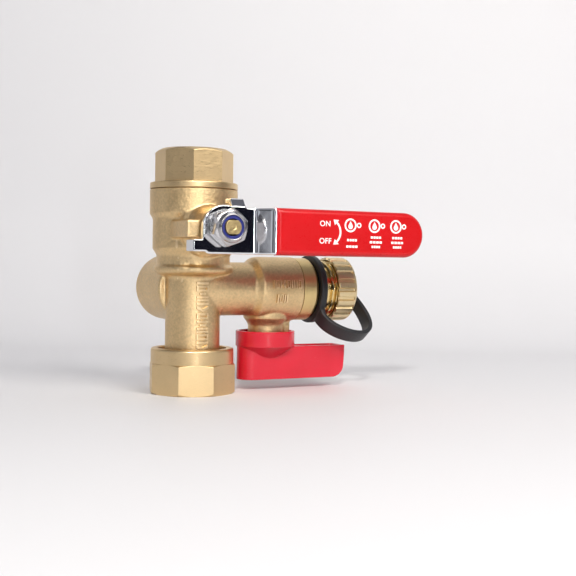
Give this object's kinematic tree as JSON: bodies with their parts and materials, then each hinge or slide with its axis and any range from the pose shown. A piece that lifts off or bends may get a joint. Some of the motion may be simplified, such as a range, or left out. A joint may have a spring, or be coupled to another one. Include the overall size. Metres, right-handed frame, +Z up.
{
  "type": "water heater service valve",
  "caption": "Quarter-turn ball valve with union nut, rear relief port and a capped side drain cock, each valve with its own lever.",
  "frame": {"origin": "on the surface that it stands on, under the middle of the whole object's box", "axes": "+Z up the main run towards the tapped inlet, +X along the drain branch and the main lever, -Y towards the main stem and its nut"},
  "size_m": [0.114, 0.0782, 0.108],
  "materials": {
    "cast_brass": "satin, shot-blasted forging",
    "bright_brass": "machined, half gloss",
    "chrome_plate": "mirror chrome plate",
    "plated_ball": "polished plate",
    "red_vinyl": "glossy dipped vinyl",
    "red_plastic": "glossy moulded plastic",
    "black_rubber": "matt",
    "ptfe": "matt",
    "blue_nylon": "matt",
    "spring_steel": "zinc plated"
  },
  "bodies": {
    "valve": {"valve_body": "cast_brass", "main_end_connector": "cast_brass", "main_seat_upper": "ptfe", "main_seat_lower": "ptfe", "stem_packing": "ptfe", "packing_gland": "bright_brass", "union_retaining_ring": "spring_steel", "union_washer": "black_rubber", "drain_end_connector": "bright_brass", "drain_seat_inner": "ptfe", "drain_seat_outer": "ptfe", "strap_neck_ring": "black_rubber", "strap_band": "black_rubber"},
    "main_spindle": {"main_ball": "plated_ball", "main_stem": "bright_brass", "stem_thrust_washer": "ptfe", "lever_plate": "chrome_plate", "lever_sleeve": "red_vinyl", "lever_nut": "chrome_plate", "lever_nut_insert": "blue_nylon"},
    "drain_spindle": {"drain_ball": "plated_ball", "drain_stem": "bright_brass", "drain_thrust_washer": "ptfe", "drain_o_ring_upper": "black_rubber", "drain_o_ring_lower": "black_rubber", "drain_lever": "red_plastic", "drain_lever_screw": "spring_steel"},
    "union": {"union_nut": "cast_brass"},
    "strap_end": {"strap_eyelet": "black_rubber"},
    "cap": {"hose_cap": "bright_brass", "hose_cap_washer": "black_rubber", "strap_rivet": "bright_brass"}
  },
  "joints": [
    {"name": "main_lever", "type": "hinge", "parent": "valve", "child": "main_spindle", "pos_m": [-0.03736, -0.02475, 0.0726], "axis": [0, -1, 0], "range_deg": [0, 90]},
    {"name": "drain_lever", "type": "hinge", "parent": "valve", "child": "drain_spindle", "pos_m": [-0.00126, 0.00525, 0.0461], "axis": [0, 0, -1], "range_deg": [0, 90]},
    {"name": "union_turn", "type": "hinge", "parent": "valve", "child": "union", "pos_m": [-0.03736, 0.00525, 0.01], "axis": [0, 0, 1], "continuous": true},
    {"name": "cap_travel", "type": "slide", "parent": "valve", "child": "strap_end", "axis": [1, 0, 0], "range_m": [0, 0.0077], "deforming": ["strap_band"]},
    {"name": "cap_turn", "type": "hinge", "parent": "strap_end", "child": "cap", "pos_m": [0.0341, 0.00525, 0.0461], "axis": [1, 0, 0], "range_deg": [0, 1254]}
  ],
  "couplings": [
    {"joint": "cap_travel", "follows": "cap_turn", "m_per_rad": 0.00035157}
  ]
}
